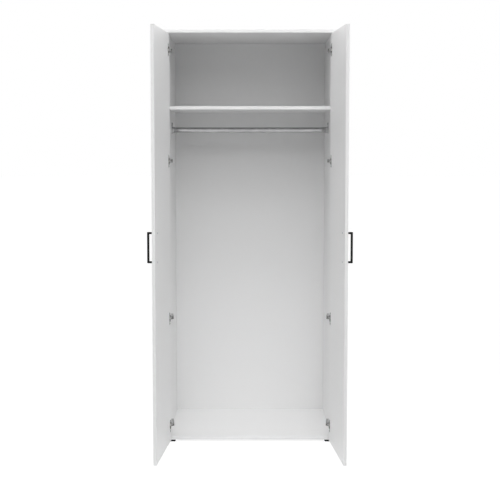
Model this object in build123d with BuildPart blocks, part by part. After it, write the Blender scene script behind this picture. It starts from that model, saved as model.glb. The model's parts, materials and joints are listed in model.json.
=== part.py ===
from build123d import *
from math import atan2, degrees
import os

# A two-door wardrobe: boards on cams and dowels, a hat shelf, a clothes rail,
# and two doors on four concealed hinges each. The doors stand open.
# Millimetres. +Z is up, -Y is the front, the floor is at z = 0,
# and the origin is the middle of the floor space that the open wardrobe takes.

# Carcase boards
carcase_width = 800.0
carcase_height = 1938.0
side_depth = 516.0
board_thickness = 15.0
board_edge_radius = 1.0
shelf_height = 1571.0
shelf_setback = 35.0
back_thickness = 3.0
back_inset = 2.0

# Doors
door_thickness = 15.0
door_middle_gap = 3.0
door_side_inset = 1.0
door_top_gap = 3.0
door_face_gap = 2.0
door_opening = 95.0

# Handles
handle_spacing = 128.0
handle_section = 9.0
handle_projection = 30.0
handle_corner_radius = 2.0
handle_edge_radius = 0.8
handle_edge_distance = 55.0
handle_drop = 3.0
handle_screw_radius = 2.0
handle_screw_grip = 10.0
handle_screw_head_radius = 4.2
handle_screw_head_height = 2.2

# Feet
foot_height = 12.0
foot_width = 40.0
foot_corner_radius = 4.0
foot_edge_radius = 0.8
foot_side_inset = 23.0
foot_edge_inset = 32.0
foot_nail_radius = 1.6
foot_nail_length = 10.0

# Clothes rail and its brackets
rail_radius = 12.5
rail_wall = 1.2
rail_height = 1478.0
rail_setback = 258.0
bracket_plate = 3.0
bracket_edge_radius = 0.8
bracket_projection = 13.5
bracket_wall = 2.5
bracket_flange_radius = 18.0
bracket_tab_radius = 8.0
bracket_tab_rise = 30.0
bracket_peg_radius = 2.5
bracket_peg_length = 8.0
rail_clearance = 0.2

# Nails of the back panel
nail_radius = 0.9
nail_length = 17.0
nail_head_radius = 2.2
nail_head_height = 0.8
nail_end_distance = 60.0
side_nail_count = 9
end_nail_count = 3

# Cam locks, their bolts and the dowels beside them
cam_radius = 7.5
cam_depth = 12.5
cam_distance = 24.0
cam_inset = 60.0
cam_slot_width = 1.6
cam_slot_depth = 1.5
bolt_head_radius = 3.4
bolt_head_length = 3.0
bolt_shank_radius = 2.6
bolt_thread_radius = 2.5
bolt_thread_length = 10.0
dowel_radius = 4.0
dowel_length = 30.0
dowel_chamfer = 1.0
dowel_sink = 10.0
dowel_offset = 32.0
dowel_end_gap = 0.5
fastener_clearance = 0.05

# Hinges along the door, and their plates on the side panels
hinge_end_distance = 76.5
hinge_inner_spacing = 740.0
plate_setback = 37.0
plate_sheet = 2.0
plate_edge_radius = 0.6
plate_front = 24.0
plate_rear = 62.0
plate_width = 20.0
plate_corner_radius = 3.5
plate_wing_width = 14.0
plate_screw_spacing = 32.0
plate_wing_margin = 8.0
rib_half_width = 6.4
wood_screw_radius = 2.0
wood_screw_head_radius = 3.6
wood_screw_head_height = 1.8
wood_screw_length = 12.0

# Hinge arm, a channel of folded sheet
arm_height = 22.0
arm_body_height = 17.5
arm_foot = 3.0
arm_rear = 66.0
arm_step_front = 12.0
arm_body_front = 20.0
arm_web_front = 8.2
arm_sheet = 1.4
arm_fold_radius = 1.2
arm_nose_radius = 3.5
arm_tip_radius = 3.0
arm_screw_radius = 2.4
arm_screw_length = 9.0
arm_screw_head_radius = 4.2
arm_screw_head_height = 1.8
arm_fixing_setback = 50.0
arm_adjusting_setback = 31.0

# Hinge cup
cup_radius = 17.5
cup_depth = 12.0
cup_wall = 1.0
cup_floor = 0.7
cup_edge_distance = 23.0
cup_flange = 0.8
cup_flange_edge_radius = 0.4
cup_rim_radius = 18.5
cup_wing_radius = 7.5
cup_screw_spacing = 48.0
cup_screw_offset = 6.0
cup_screw_length = 10.0
cup_clearance = 0.1

# Hinge links and pins: places of the pins with the door closed
pin_radius = 1.2
running_clearance = 0.05
outer_arm_pin_reach = 18.5
outer_arm_pin_setback = 4.8
inner_arm_pin_reach = 13.8
inner_arm_pin_setback = -2.1
outer_cup_pin_edge = 11.0
outer_cup_pin_depth = 2.7
inner_cup_pin_edge = 11.4
inner_cup_pin_depth = 7.1
outer_link_swing = 35.0
inner_link_half = 4.0
outer_link_sheet = 1.6
link_side_gap = 0.6
outer_link_width = 3.4
inner_link_width = 3.0
link_boss_radius = 2.3
link_bend_radius = 2.2
open_eye_offset = 1.05
open_eye_clearance = 0.4
open_eye_wall = 1.3
outer_web_start = 2.6
outer_web_end = 6.2
outer_web_thickness = 1.2

# Bends of the links, measured from the pin that each starts at, with the door closed
outer_link_bends = [(0, -7.2), (-4.5, -11.2), (-13.5, -11.2), (-16.8, -12.3)]
inner_link_bends = [(5.1, -1.4), (9.6, -2.0), (13.1, 1.3)]

# Leaf springs in the hinge cups
spring_thickness = 0.7
spring_width = 2.4
spring_near = 7.0
spring_reach = 8.0
spring_rise = 4.0

# Worked out from the sizes above
half_width = carcase_width / 2
inner_face = half_width - board_thickness
carcase_bottom = foot_height
carcase_top = carcase_bottom + carcase_height
top_underside = carcase_top - board_thickness
shelf_underside = carcase_bottom + shelf_height
rail_axis_height = carcase_bottom + rail_height
top_overhang = door_face_gap + door_thickness
door_width = half_width - door_side_inset - door_middle_gap / 2
door_height = top_underside - door_top_gap - carcase_bottom
handle_length = handle_spacing + handle_section
handle_along = door_width - handle_edge_distance
handle_level = door_height / 2 - handle_drop
hinge_heights = {
    "bottom": hinge_end_distance,
    "lower": door_height / 2 - hinge_inner_spacing / 2,
    "upper": door_height / 2 + hinge_inner_spacing / 2,
    "top": door_height - hinge_end_distance,
}

# Layers of one hinge, measured up and down from its middle plane
outer_link_near = inner_link_half + link_side_gap
outer_link_far = outer_link_near + outer_link_sheet
arm_near = outer_link_far + link_side_gap
arm_far = arm_near + arm_sheet
stub_near = inner_link_half + link_side_gap / 2

# Hinge plan: x from the side panel's inner face towards the middle of the wardrobe,
# y from the side panel's front edge towards the back, seen with the door closed.
closed_corner = Vector(door_side_inset - board_thickness, -door_face_gap)
outer_arm_pin = Vector(outer_arm_pin_reach, outer_arm_pin_setback)
inner_arm_pin = Vector(inner_arm_pin_reach, inner_arm_pin_setback)
outer_cup_pin = closed_corner + Vector(outer_cup_pin_edge, -outer_cup_pin_depth)
inner_cup_pin = closed_corner + Vector(inner_cup_pin_edge, -inner_cup_pin_depth)


def opened(point):
    """Carry a point of the closed door to where it is with the door open."""
    open_cup_pin = outer_arm_pin + (outer_cup_pin - outer_arm_pin).rotate(Axis.Z, outer_link_swing)
    return open_cup_pin + (point - outer_cup_pin).rotate(Axis.Z, -door_opening)


def bearing(vector):
    return degrees(atan2(vector.Y, vector.X))


# The inner link swings between its two true end directions. Its eye at the arm is the
# pivot that stays open: it sits a little past the arm pin at both ends of the swing
# and a little short of it midway, so the eye is wider than the pin.
closed_reach = inner_arm_pin - inner_cup_pin
open_reach = inner_arm_pin - opened(inner_cup_pin)
inner_link_swing = bearing(open_reach) - bearing(closed_reach)
inner_link_eye = closed_reach.normalized() * (open_reach.length + open_eye_offset)
open_eye_radius = pin_radius + open_eye_offset + open_eye_clearance

# The open doors reach this far in front of the side panels, the back panel this far behind
door_outline = [(0, 0), (door_width, 0), (0, -door_thickness), (door_width, -door_thickness)]
front_reach = -min(opened(closed_corner + Vector(corner)).Y for corner in door_outline)
rear_reach = side_depth + back_thickness + nail_head_height
front = (front_reach - rear_reach) / 2
rear = front + side_depth

# Planes of the left door, its links and its hinges
hinge_origin = Vector(-inner_face, front, carcase_bottom)
turn_door = Vector(1, 0).rotate(Axis.Z, -door_opening)
turn_outer = Vector(1, 0).rotate(Axis.Z, outer_link_swing)
turn_inner = Vector(1, 0).rotate(Axis.Z, inner_link_swing)
hinge_plane = Plane(hinge_origin, x_dir=(1, 0, 0), z_dir=(0, 0, 1))
door_plane = Plane(hinge_origin + opened(closed_corner), x_dir=turn_door, z_dir=(0, 0, 1))
outer_link_plane = Plane(hinge_origin + outer_arm_pin, x_dir=turn_outer, z_dir=(0, 0, 1))
inner_link_plane = Plane(hinge_origin + opened(inner_cup_pin), x_dir=turn_inner, z_dir=(0, 0, 1))

UP, DOWN = (0, 0, 1), (0, 0, -1)
BACK, FORWARD = (0, 1, 0), (0, -1, 0)
RIGHT, LEFT = (1, 0, 0), (-1, 0, 0)
FROM_START = (Align.CENTER, Align.CENTER, Align.MIN)

os.makedirs("parts", exist_ok=True)


def keep(piece, label):
    """Name a finished piece and write it out."""
    piece.part.label = label
    export_step(piece.part, f"parts/{label}.step")


def keep_pair(left_piece, label):
    """Write a left-hand piece and its mirror image on the right."""
    keep(left_piece, f"left_{label}")
    with BuildPart() as right_piece:
        mirror(left_piece.part, about=Plane.YZ)
    keep(right_piece, f"right_{label}")


def keep_both(left_piece, label):
    """Write a left-hand group and its mirror image as one node."""
    with BuildPart() as both_pieces:
        add(left_piece.part)
        mirror(left_piece.part, about=Plane.YZ)
    keep(both_pieces, label)


def rods(points, direction, radius, length, mode=Mode.SUBTRACT):
    """Round bars or bores that start at each point and run along one direction."""
    with Locations(*[Plane(point, z_dir=direction) for point in points]):
        Cylinder(radius, length, align=FROM_START, mode=mode)


def cones(points, direction, radius, end_radius, length, mode=Mode.SUBTRACT):
    """Tapered bars or countersinks that start at each point and run along one direction."""
    with Locations(*[Plane(point, z_dir=direction) for point in points]):
        Cone(radius, end_radius, length, align=FROM_START, mode=mode)


def round_long_edges(builder, axis):
    """Round the long edges of a board's front, as its edge band is rounded."""
    front_edges = builder.faces().sort_by(Axis.Y)[0].edges()
    fillet(front_edges.filter_by(axis), radius=board_edge_radius)


# Places of the fasteners
cam_rows = [front + cam_inset, rear - cam_inset]
dowel_rows = [front + cam_inset + dowel_offset, rear - cam_inset - dowel_offset]
side_middle = half_width - board_thickness / 2
level_boards = [carcase_bottom, shelf_underside]
level_middles = [level + board_thickness / 2 for level in level_boards]
nail_span = carcase_height - 2 * nail_end_distance
nail_step = nail_span / (side_nail_count - 1)
side_nails = [(-side_middle, rear, carcase_bottom + nail_end_distance + nail_step * i)
              for i in range(side_nail_count)]
end_step = carcase_width / (end_nail_count + 1)
end_xs = [-half_width + end_step * (i + 1) for i in range(end_nail_count)]
bottom_nails = [(x, rear, level_middles[0]) for x in end_xs]
top_nails = [(x, rear, carcase_top - board_thickness / 2) for x in end_xs]
nail_grip = nail_length - back_thickness
plate_screws = [(plate_setback, side * plate_screw_spacing / 2) for side in (-1, 1)]
feet = {
    "front": front + foot_edge_inset,
    "rear": rear - foot_edge_inset,
}

# Side panel, with its cam pockets under the top panel and bores for everything it holds
with BuildPart() as side_panel:
    with Locations((-half_width, front, carcase_bottom)):
        Box(board_thickness, side_depth, top_underside - carcase_bottom, align=Align.MIN)
    round_long_edges(side_panel, Axis.Z)
    cam_height = top_underside - cam_distance
    rods([(-inner_face, y, cam_height) for y in cam_rows], LEFT, cam_radius, cam_depth)
    rods([(-side_middle, y, top_underside) for y in cam_rows], DOWN,
         bolt_head_radius + fastener_clearance, cam_distance)
    rods([(-side_middle, y, top_underside) for y in dowel_rows], DOWN,
         dowel_radius + fastener_clearance, dowel_length - dowel_sink + dowel_end_gap)
    rods([(-inner_face, y, z) for y in cam_rows for z in level_middles], LEFT,
         bolt_thread_radius + fastener_clearance, bolt_thread_length)
    rods([(-inner_face, y, z) for y in dowel_rows for z in level_middles], LEFT,
         dowel_radius + fastener_clearance, dowel_sink + dowel_end_gap)
    rods([(-inner_face, front + v, carcase_bottom + height + z)
          for height in hinge_heights.values() for v, z in plate_screws], LEFT,
         wood_screw_radius + fastener_clearance, wood_screw_length)
    rods([(-inner_face, front + rail_setback, rail_axis_height)], LEFT,
         bracket_peg_radius + fastener_clearance, bracket_peg_length)
    rods([(-inner_face, front + rail_setback, rail_axis_height + bracket_tab_rise)], LEFT,
         wood_screw_radius + fastener_clearance, wood_screw_length)
    rods(side_nails, FORWARD, nail_radius + fastener_clearance, nail_grip)
keep_pair(side_panel, "side_panel")

# Top panel, which lies on the side panels and reaches forward over the doors
with BuildPart() as top_panel:
    with Locations((0, rear, top_underside)):
        Box(carcase_width, side_depth + top_overhang, board_thickness,
            align=(Align.CENTER, Align.MAX, Align.MIN))
    round_long_edges(top_panel, Axis.X)
    both_sides = (-side_middle, side_middle)
    rods([(x, y, top_underside) for x in both_sides for y in cam_rows], UP,
         bolt_thread_radius + fastener_clearance, bolt_thread_length)
    rods([(x, y, top_underside) for x in both_sides for y in dowel_rows], UP,
         dowel_radius + fastener_clearance, dowel_sink + dowel_end_gap)
    rods(top_nails, FORWARD, nail_radius + fastener_clearance, nail_grip)
keep(top_panel, "top_panel")


def level_board(underside, setback):
    """A board between the side panels, with cams in its underside and bores in its ends."""
    middle = underside + board_thickness / 2
    with BuildPart() as board:
        with Locations((0, rear, underside)):
            Box(2 * inner_face, side_depth - setback, board_thickness,
                align=(Align.CENTER, Align.MAX, Align.MIN))
        round_long_edges(board, Axis.X)
        for side, inwards in ((-1, RIGHT), (1, LEFT)):
            end = side * inner_face
            cam_middle = side * (inner_face - cam_distance)
            rods([(cam_middle, y, underside) for y in cam_rows], UP, cam_radius, cam_depth)
            rods([(end, y, middle) for y in cam_rows], inwards,
                 bolt_head_radius + fastener_clearance, cam_distance)
            rods([(end, y, middle) for y in dowel_rows], inwards,
                 dowel_radius + fastener_clearance, dowel_length - dowel_sink + dowel_end_gap)
    return board


hat_shelf = level_board(shelf_underside, shelf_setback)
keep(hat_shelf, "hat_shelf")

# Bottom panel, which also takes the nails of the feet and of the back panel
bottom_blank = level_board(carcase_bottom, 0)
foot_x = half_width - foot_side_inset
with BuildPart() as bottom_panel:
    add(bottom_blank.part)
    rods([(x, y, carcase_bottom) for x in (-foot_x, foot_x) for y in feet.values()], UP,
         foot_nail_radius + fastener_clearance, foot_nail_length)
    rods(bottom_nails, FORWARD, nail_radius + fastener_clearance, nail_grip)
keep(bottom_panel, "bottom_panel")

# Back panel of thin fibreboard, nailed to the rear edges of the boards
mirrored_nails = [(-x, y, z) for x, y, z in side_nails]
back_nails = side_nails + mirrored_nails + bottom_nails + top_nails
with BuildPart() as back_panel:
    with Locations((0, rear, carcase_bottom + back_inset)):
        Box(carcase_width - 2 * back_inset, back_thickness, carcase_height - 2 * back_inset,
            align=(Align.CENTER, Align.MIN, Align.MIN))
    rods(back_nails, BACK, nail_radius + fastener_clearance, back_thickness)
keep(back_panel, "back_panel")

with BuildPart() as back_panel_nails:
    head_points = [(x, y + back_thickness, z) for x, y, z in back_nails]
    rods(head_points, FORWARD, nail_radius, nail_length, Mode.ADD)
    rods(head_points, BACK, nail_head_radius, nail_head_height, Mode.ADD)
keep(back_panel_nails, "back_panel_nails")

# Cam locks: each turns in its pocket and pulls on the head of a bolt
cam_thickness = cam_depth - fastener_clearance
cam_places = []
for side, inwards in ((-1, RIGHT), (1, LEFT)):
    for y in cam_rows:
        cam_places.append(((side * inner_face, y, top_underside - cam_distance), inwards, UP))
        for underside in level_boards:
            outwards = LEFT if inwards == RIGHT else RIGHT
            cam_places.append(((side * (inner_face - cam_distance), y, underside), DOWN, outwards))

with BuildPart() as cam_locks:
    for place, facing, pull in cam_places:
        face = Plane(place, x_dir=pull, z_dir=facing)
        with Locations(face):
            Cylinder(cam_radius - fastener_clearance, cam_thickness,
                     align=(Align.CENTER, Align.CENTER, Align.MAX))
            Box(2 * cam_radius, cam_slot_width, cam_slot_depth,
                align=(Align.CENTER, Align.CENTER, Align.MAX), mode=Mode.SUBTRACT)
        bolt_level = face.origin - face.z_dir * board_thickness / 2
        rods([bolt_level], pull, bolt_head_radius + fastener_clearance, cam_radius)
keep(cam_locks, "cam_locks")

# Bolts: screwed into one board, with a head that the cam of the other board holds
with BuildPart() as cam_bolts:
    for place, facing, pull in cam_places:
        face = Plane(place, x_dir=pull, z_dir=facing)
        head_start = face.origin - face.z_dir * board_thickness / 2
        joint = head_start + face.x_dir * cam_distance
        rods([head_start], pull, bolt_head_radius, bolt_head_length, Mode.ADD)
        rods([head_start], pull, bolt_shank_radius, cam_distance, Mode.ADD)
        rods([joint], pull, bolt_thread_radius, bolt_thread_length, Mode.ADD)
keep(cam_bolts, "cam_bolts")

with BuildPart() as wooden_dowels:
    for y in dowel_rows:
        for x in (-side_middle, side_middle):
            rods([(x, y, top_underside + dowel_sink)], DOWN, dowel_radius, dowel_length, Mode.ADD)
        for z in level_middles:
            rods([(-inner_face - dowel_sink, y, z)], RIGHT, dowel_radius, dowel_length, Mode.ADD)
            rods([(inner_face + dowel_sink, y, z)], LEFT, dowel_radius, dowel_length, Mode.ADD)
    chamfer(wooden_dowels.edges().filter_by(GeomType.CIRCLE), length=dowel_chamfer)
keep(wooden_dowels, "wooden_dowels")

# Feet: plastic blocks with a nail moulded in
for row, y in feet.items():
    with BuildPart() as foot:
        with BuildSketch():
            with Locations((-foot_x, y)):
                RectangleRounded(foot_width, foot_width, foot_corner_radius)
        extrude(amount=foot_height)
        fillet(foot.faces().sort_by(Axis.Z)[0].edges(), radius=foot_edge_radius)
        with Locations((-foot_x, y, foot_height)):
            Cylinder(foot_nail_radius, foot_nail_length, align=FROM_START)
    keep_pair(foot, f"{row}_foot")

# Clothes rail, a plain tube
rail_half_length = inner_face - bracket_plate - rail_clearance
with BuildPart() as clothes_rail:
    with BuildSketch(Plane((-rail_half_length, front + rail_setback, rail_axis_height), z_dir=RIGHT)):
        Circle(rail_radius)
        Circle(rail_radius - rail_wall, mode=Mode.SUBTRACT)
    extrude(amount=2 * rail_half_length)
keep(clothes_rail, "clothes_rail")

# Rail bracket: a flange with a screw tab above, and a socket that the rail sits in
socket_bore = rail_radius + rail_clearance
bracket_plane = Plane((-inner_face, front + rail_setback, rail_axis_height),
                      x_dir=(0, 1, 0), z_dir=RIGHT)
tab_place = (0, bracket_tab_rise)
with BuildPart() as rail_bracket:
    with BuildSketch(bracket_plane):
        Circle(bracket_flange_radius)
        with Locations(tab_place):
            Circle(bracket_tab_radius)
        make_hull()
    extrude(amount=bracket_plate)
    fillet(rail_bracket.faces().sort_by(Axis.X)[-1].edges(), radius=bracket_edge_radius)
    with BuildSketch(bracket_plane.offset(bracket_plate)):
        Circle(socket_bore + bracket_wall)
        Circle(socket_bore, mode=Mode.SUBTRACT)
    extrude(amount=bracket_projection - bracket_plate)
    fillet(rail_bracket.faces().sort_by(Axis.X)[-1].edges(), radius=bracket_edge_radius)
    with BuildSketch(bracket_plane):
        Circle(bracket_peg_radius)
    extrude(amount=-bracket_peg_length + fastener_clearance)
    with BuildSketch(bracket_plane):
        with Locations(tab_place):
            Circle(wood_screw_radius + fastener_clearance)
    extrude(amount=bracket_plate, mode=Mode.SUBTRACT)
keep_pair(rail_bracket, "rail_bracket")

# One hinge's plate: a winged base with a rib that the arm slides over
plate_face = Plane((0, 0, 0), x_dir=(0, 1, 0), z_dir=RIGHT)
wing_length = plate_screw_spacing + 2 * plate_wing_margin
arm_web_underside = arm_body_height - arm_sheet
with BuildPart() as plate_pattern:
    with BuildSketch(plate_face):
        with Locations(((plate_front + plate_rear) / 2, 0)):
            RectangleRounded(plate_rear - plate_front, plate_width, plate_corner_radius)
        with Locations((plate_setback, 0)):
            SlotOverall(wing_length, plate_wing_width, rotation=90)
    extrude(amount=plate_sheet)
    fillet(plate_pattern.faces().sort_by(Axis.X)[-1].edges(), radius=plate_edge_radius)
    rib_front = arm_body_front + arm_foot
    rib_rear = plate_rear - plate_corner_radius
    with BuildSketch(plate_face.offset(plate_sheet)):
        with Locations((rib_front, 0)):
            Rectangle(rib_rear - rib_front, 2 * rib_half_width, align=(Align.MIN, Align.CENTER))
    extrude(amount=arm_web_underside - plate_sheet)
    plate_holes = [(plate_sheet, v, z) for v, z in plate_screws]
    rods(plate_holes, LEFT, wood_screw_radius + fastener_clearance, plate_sheet)
    cones(plate_holes, LEFT, wood_screw_head_radius + fastener_clearance,
          wood_screw_radius + fastener_clearance, wood_screw_head_height)
    arm_screw_places = [(arm_web_underside, v, 0) for v in (arm_fixing_setback, arm_adjusting_setback)]
    rods(arm_screw_places, LEFT, arm_screw_radius + fastener_clearance, arm_screw_length)

# One hinge's arm: a channel with a nose that holds the link pins. Behind the nose it steps down,
# and the inside of the fold is set back so that the sheet keeps its thickness round the step.
arm_step = Vector(arm_height - arm_body_height, arm_body_front - arm_step_front)
fold_shift = arm_sheet * (arm_step.length - arm_step.Y) / arm_step.X
nose_underside = arm_height - arm_sheet
with BuildPart() as arm_pattern:
    with BuildSketch(Plane.XY.offset(-arm_far)):
        with Locations(outer_arm_pin):
            Circle(arm_nose_radius)
        with Locations(inner_arm_pin):
            Circle(arm_tip_radius)
        with Locations((arm_foot, arm_body_front)):
            Rectangle(arm_height - arm_foot, arm_rear - arm_body_front, align=Align.MIN)
        make_hull()
        with BuildLine():
            Polyline((arm_height, arm_step_front), (arm_body_height, arm_body_front),
                     (arm_body_height, arm_rear), (arm_height, arm_rear), close=True)
        make_face(mode=Mode.SUBTRACT)
    extrude(amount=2 * arm_far)
    cheek_edges = arm_pattern.faces().filter_by(Axis.Z).edges()
    fillet(cheek_edges.filter_by_position(Axis.X, arm_web_underside, arm_height), radius=arm_fold_radius)
    with BuildSketch(Plane.XY.offset(-arm_near)):
        with BuildLine():
            Polyline((0, 0), (nose_underside, 0), (nose_underside, arm_step_front - fold_shift),
                     (arm_web_underside, arm_body_front - fold_shift), (arm_web_underside, arm_rear),
                     (0, arm_rear), close=True)
        make_face()
    extrude(amount=2 * arm_near, mode=Mode.SUBTRACT)
    with Locations((0, arm_web_front, 0)):
        Box(2 * arm_height, 2 * arm_rear, 2 * arm_near,
            align=(Align.MIN, Align.MAX, Align.CENTER), mode=Mode.SUBTRACT)
    pin_holes = [(pin.X, pin.Y, -arm_far) for pin in (outer_arm_pin, inner_arm_pin)]
    rods(pin_holes, UP, pin_radius, 2 * arm_far)
    rods([(arm_body_height, v, z) for _, v, z in arm_screw_places], LEFT,
         arm_screw_radius + fastener_clearance, arm_sheet)

for place, height in hinge_heights.items():
    with BuildPart() as hinge_plate:
        add(hinge_plane.offset(height).location * plate_pattern.part)
    keep_pair(hinge_plate, f"{place}_hinge_plate")
    with BuildPart() as hinge_arm:
        add(hinge_plane.offset(height).location * arm_pattern.part)
    keep_pair(hinge_arm, f"{place}_hinge_arm")

# Screws of the hinge plates and rail brackets, all alike
with BuildPart(hinge_plane) as left_panel_screws:
    screw_heads = [(plate_sheet, v, height + z)
                   for height in hinge_heights.values() for v, z in plate_screws]
    tab_height = rail_height + bracket_tab_rise
    screw_tips = screw_heads + [(bracket_plate, rail_setback, tab_height)]
    cones(screw_heads, LEFT, wood_screw_head_radius, wood_screw_radius,
          wood_screw_head_height, Mode.ADD)
    rods([(bracket_plate, rail_setback, tab_height)], RIGHT, wood_screw_head_radius,
         wood_screw_head_height, Mode.ADD)
    rods(screw_tips, LEFT, wood_screw_radius, wood_screw_length, Mode.ADD)
keep_both(left_panel_screws, "panel_screws")

# Screws that fix and adjust the arms on their plates
with BuildPart(hinge_plane) as left_arm_screws:
    web_tops = [(arm_body_height, v, height + z)
                for height in hinge_heights.values() for _, v, z in arm_screw_places]
    rods(web_tops, LEFT, arm_screw_radius, arm_screw_length, Mode.ADD)
    rods(web_tops, RIGHT, arm_screw_head_radius, arm_screw_head_height, Mode.ADD)
keep_both(left_arm_screws, "arm_screws")

# Arm pins: two short ones for the outer link and a through pin for the inner link
with BuildPart(hinge_plane) as left_arm_pins:
    for height in hinge_heights.values():
        rods([(outer_arm_pin.X, outer_arm_pin.Y, height + stub_near)], UP,
             pin_radius, arm_far - stub_near, Mode.ADD)
        rods([(outer_arm_pin.X, outer_arm_pin.Y, height - stub_near)], DOWN,
             pin_radius, arm_far - stub_near, Mode.ADD)
        rods([(inner_arm_pin.X, inner_arm_pin.Y, height - arm_far)], UP,
             pin_radius, 2 * arm_far, Mode.ADD)
keep_both(left_arm_pins, "arm_pins")

# Outer links: two cheeks joined by a web, carried along a goose-neck path
outer_link_end = outer_cup_pin - outer_arm_pin
outer_eye = (outer_link_end.X, outer_link_end.Y)
outer_link_path = [(0, 0), *outer_link_bends, outer_eye]
with BuildPart(outer_link_plane) as left_outer_links:
    for height in hinge_heights.values():
        for level in (height - outer_link_far, height + outer_link_near):
            with BuildSketch(outer_link_plane.offset(level)):
                with BuildLine():
                    FilletPolyline(*outer_link_path, radius=link_bend_radius)
                trace(line_width=outer_link_width)
                with Locations((0, 0), outer_eye):
                    Circle(link_boss_radius)
                    Circle(pin_radius + running_clearance, mode=Mode.SUBTRACT)
            extrude(amount=outer_link_sheet)
        with Locations((outer_link_width / 2, -outer_web_end, height)):
            Box(outer_web_thickness, outer_web_end - outer_web_start, 2 * outer_link_far,
                align=(Align.MAX, Align.MIN, Align.CENTER))
keep_pair(left_outer_links, "outer_links")

# Inner links: one thick bent lever each, with the wide eye at the arm
eye = (inner_link_eye.X, inner_link_eye.Y)
inner_link_path = [(0, 0), *inner_link_bends, eye]
with BuildPart(inner_link_plane) as left_inner_links:
    for height in hinge_heights.values():
        with BuildSketch(inner_link_plane.offset(height - inner_link_half)):
            with BuildLine():
                FilletPolyline(*inner_link_path, radius=link_bend_radius)
            trace(line_width=inner_link_width)
            Circle(link_boss_radius)
            Circle(pin_radius + running_clearance, mode=Mode.SUBTRACT)
            with Locations(eye):
                Circle(open_eye_radius + open_eye_wall)
                Circle(open_eye_radius, mode=Mode.SUBTRACT)
        extrude(amount=2 * inner_link_half)
keep_pair(left_inner_links, "inner_links")

# Door, with bores for the hinge cups and every screw
cup_levels = list(hinge_heights.values())
cup_screw_places = [(cup_edge_distance + cup_screw_offset, 0, height + side * cup_screw_spacing / 2)
                    for height in cup_levels for side in (-1, 1)]
handle_posts = [handle_level + side * handle_spacing / 2 for side in (-1, 1)]
with BuildPart(door_plane) as left_door:
    Box(door_width, door_thickness, door_height, align=(Align.MIN, Align.MAX, Align.MIN))
    fillet(left_door.edges(), radius=board_edge_radius)
    rods([(cup_edge_distance, 0, height) for height in cup_levels], FORWARD,
         cup_radius + cup_clearance, cup_depth + cup_clearance)
    rods(cup_screw_places, FORWARD, wood_screw_radius + fastener_clearance, cup_screw_length)
    rods([(handle_along, 0, z) for z in handle_posts], FORWARD,
         handle_screw_radius + fastener_clearance, door_thickness)
keep_pair(left_door, "door")

# Handle: a square bar bent to a bow
handle_origin = door_plane.from_local_coords((handle_along, -door_thickness, handle_level))
handle_plane = Plane(handle_origin, x_dir=-door_plane.y_dir, z_dir=door_plane.x_dir)
with BuildPart(handle_plane) as left_handle:
    with BuildSketch(handle_plane.offset(-handle_section / 2)) as bow:
        Rectangle(handle_projection, handle_length, align=(Align.MIN, Align.CENTER))
        fillet(bow.vertices().group_by(Axis.X)[-1], radius=handle_corner_radius)
        Rectangle(handle_projection - handle_section, handle_length - 2 * handle_section,
                  align=(Align.MIN, Align.CENTER), mode=Mode.SUBTRACT)
    extrude(amount=handle_section)
    fillet(left_handle.edges(), radius=handle_edge_radius)
    rods([(0, side * handle_spacing / 2, 0) for side in (-1, 1)], RIGHT,
         handle_screw_radius + fastener_clearance, handle_screw_grip)
keep_pair(left_handle, "handle")

with BuildPart(door_plane) as left_handle_screws:
    head_places = [(handle_along, 0, z) for z in handle_posts]
    rods(head_places, FORWARD, handle_screw_radius,
         door_thickness + handle_screw_grip - fastener_clearance, Mode.ADD)
    rods(head_places, BACK, handle_screw_head_radius, handle_screw_head_height, Mode.ADD)
keep_pair(left_handle_screws, "handle_screws")

# One hinge cup, drawn on the door's inner face with its mouth towards the room inside
cup_face = Plane((cup_edge_distance, 0, 0), x_dir=(1, 0, 0), z_dir=BACK)
cavity_radius = cup_radius - cup_wall
cavity_depth = cup_depth - cup_floor
cup_pins = {
    "outer": (outer_cup_pin_edge, -outer_cup_pin_depth),
    "inner": (inner_cup_pin_edge, -inner_cup_pin_depth),
}
wing_half = cup_screw_spacing / 2


def cup_pin_half_length(edge_distance):
    """Half the cup's outside width where a pin crosses it, less half the wall."""
    offset = cup_edge_distance - edge_distance + pin_radius
    return (cup_radius ** 2 - offset ** 2) ** 0.5 - cup_wall / 2


with BuildPart() as cup_pattern:
    with BuildSketch(cup_face):
        Circle(cup_rim_radius)
        with Locations((cup_screw_offset, -wing_half), (cup_screw_offset, wing_half)):
            Circle(cup_wing_radius)
        make_hull()
    extrude(amount=cup_flange)
    fillet(cup_pattern.faces().sort_by(Axis.Y)[-1].edges(), radius=cup_flange_edge_radius)
    with BuildSketch(cup_face):
        Circle(cup_radius)
    extrude(amount=-cup_depth)
    with BuildSketch(cup_face.offset(cup_flange)):
        Circle(cavity_radius)
    extrude(amount=-cavity_depth - cup_flange, mode=Mode.SUBTRACT)
    flange_holes = [(cup_edge_distance + cup_screw_offset, 0, side * wing_half) for side in (-1, 1)]
    rods(flange_holes, BACK, wood_screw_radius + fastener_clearance, cup_flange)
    for along, across in cup_pins.values():
        half_length = cup_pin_half_length(along)
        rods([(along, across, -half_length)], UP, pin_radius, 2 * half_length)

for place, height in hinge_heights.items():
    with BuildPart() as hinge_cup:
        add(door_plane.offset(height).location * cup_pattern.part)
    keep_pair(hinge_cup, f"{place}_hinge_cup")

with BuildPart(door_plane) as left_cup_screws:
    flange_tops = [(x, cup_flange, z) for x, _, z in cup_screw_places]
    rods(flange_tops, FORWARD, wood_screw_radius, cup_screw_length, Mode.ADD)
    rods(flange_tops, BACK, wood_screw_head_radius, wood_screw_head_height, Mode.ADD)
keep_pair(left_cup_screws, "cup_screws")

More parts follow.
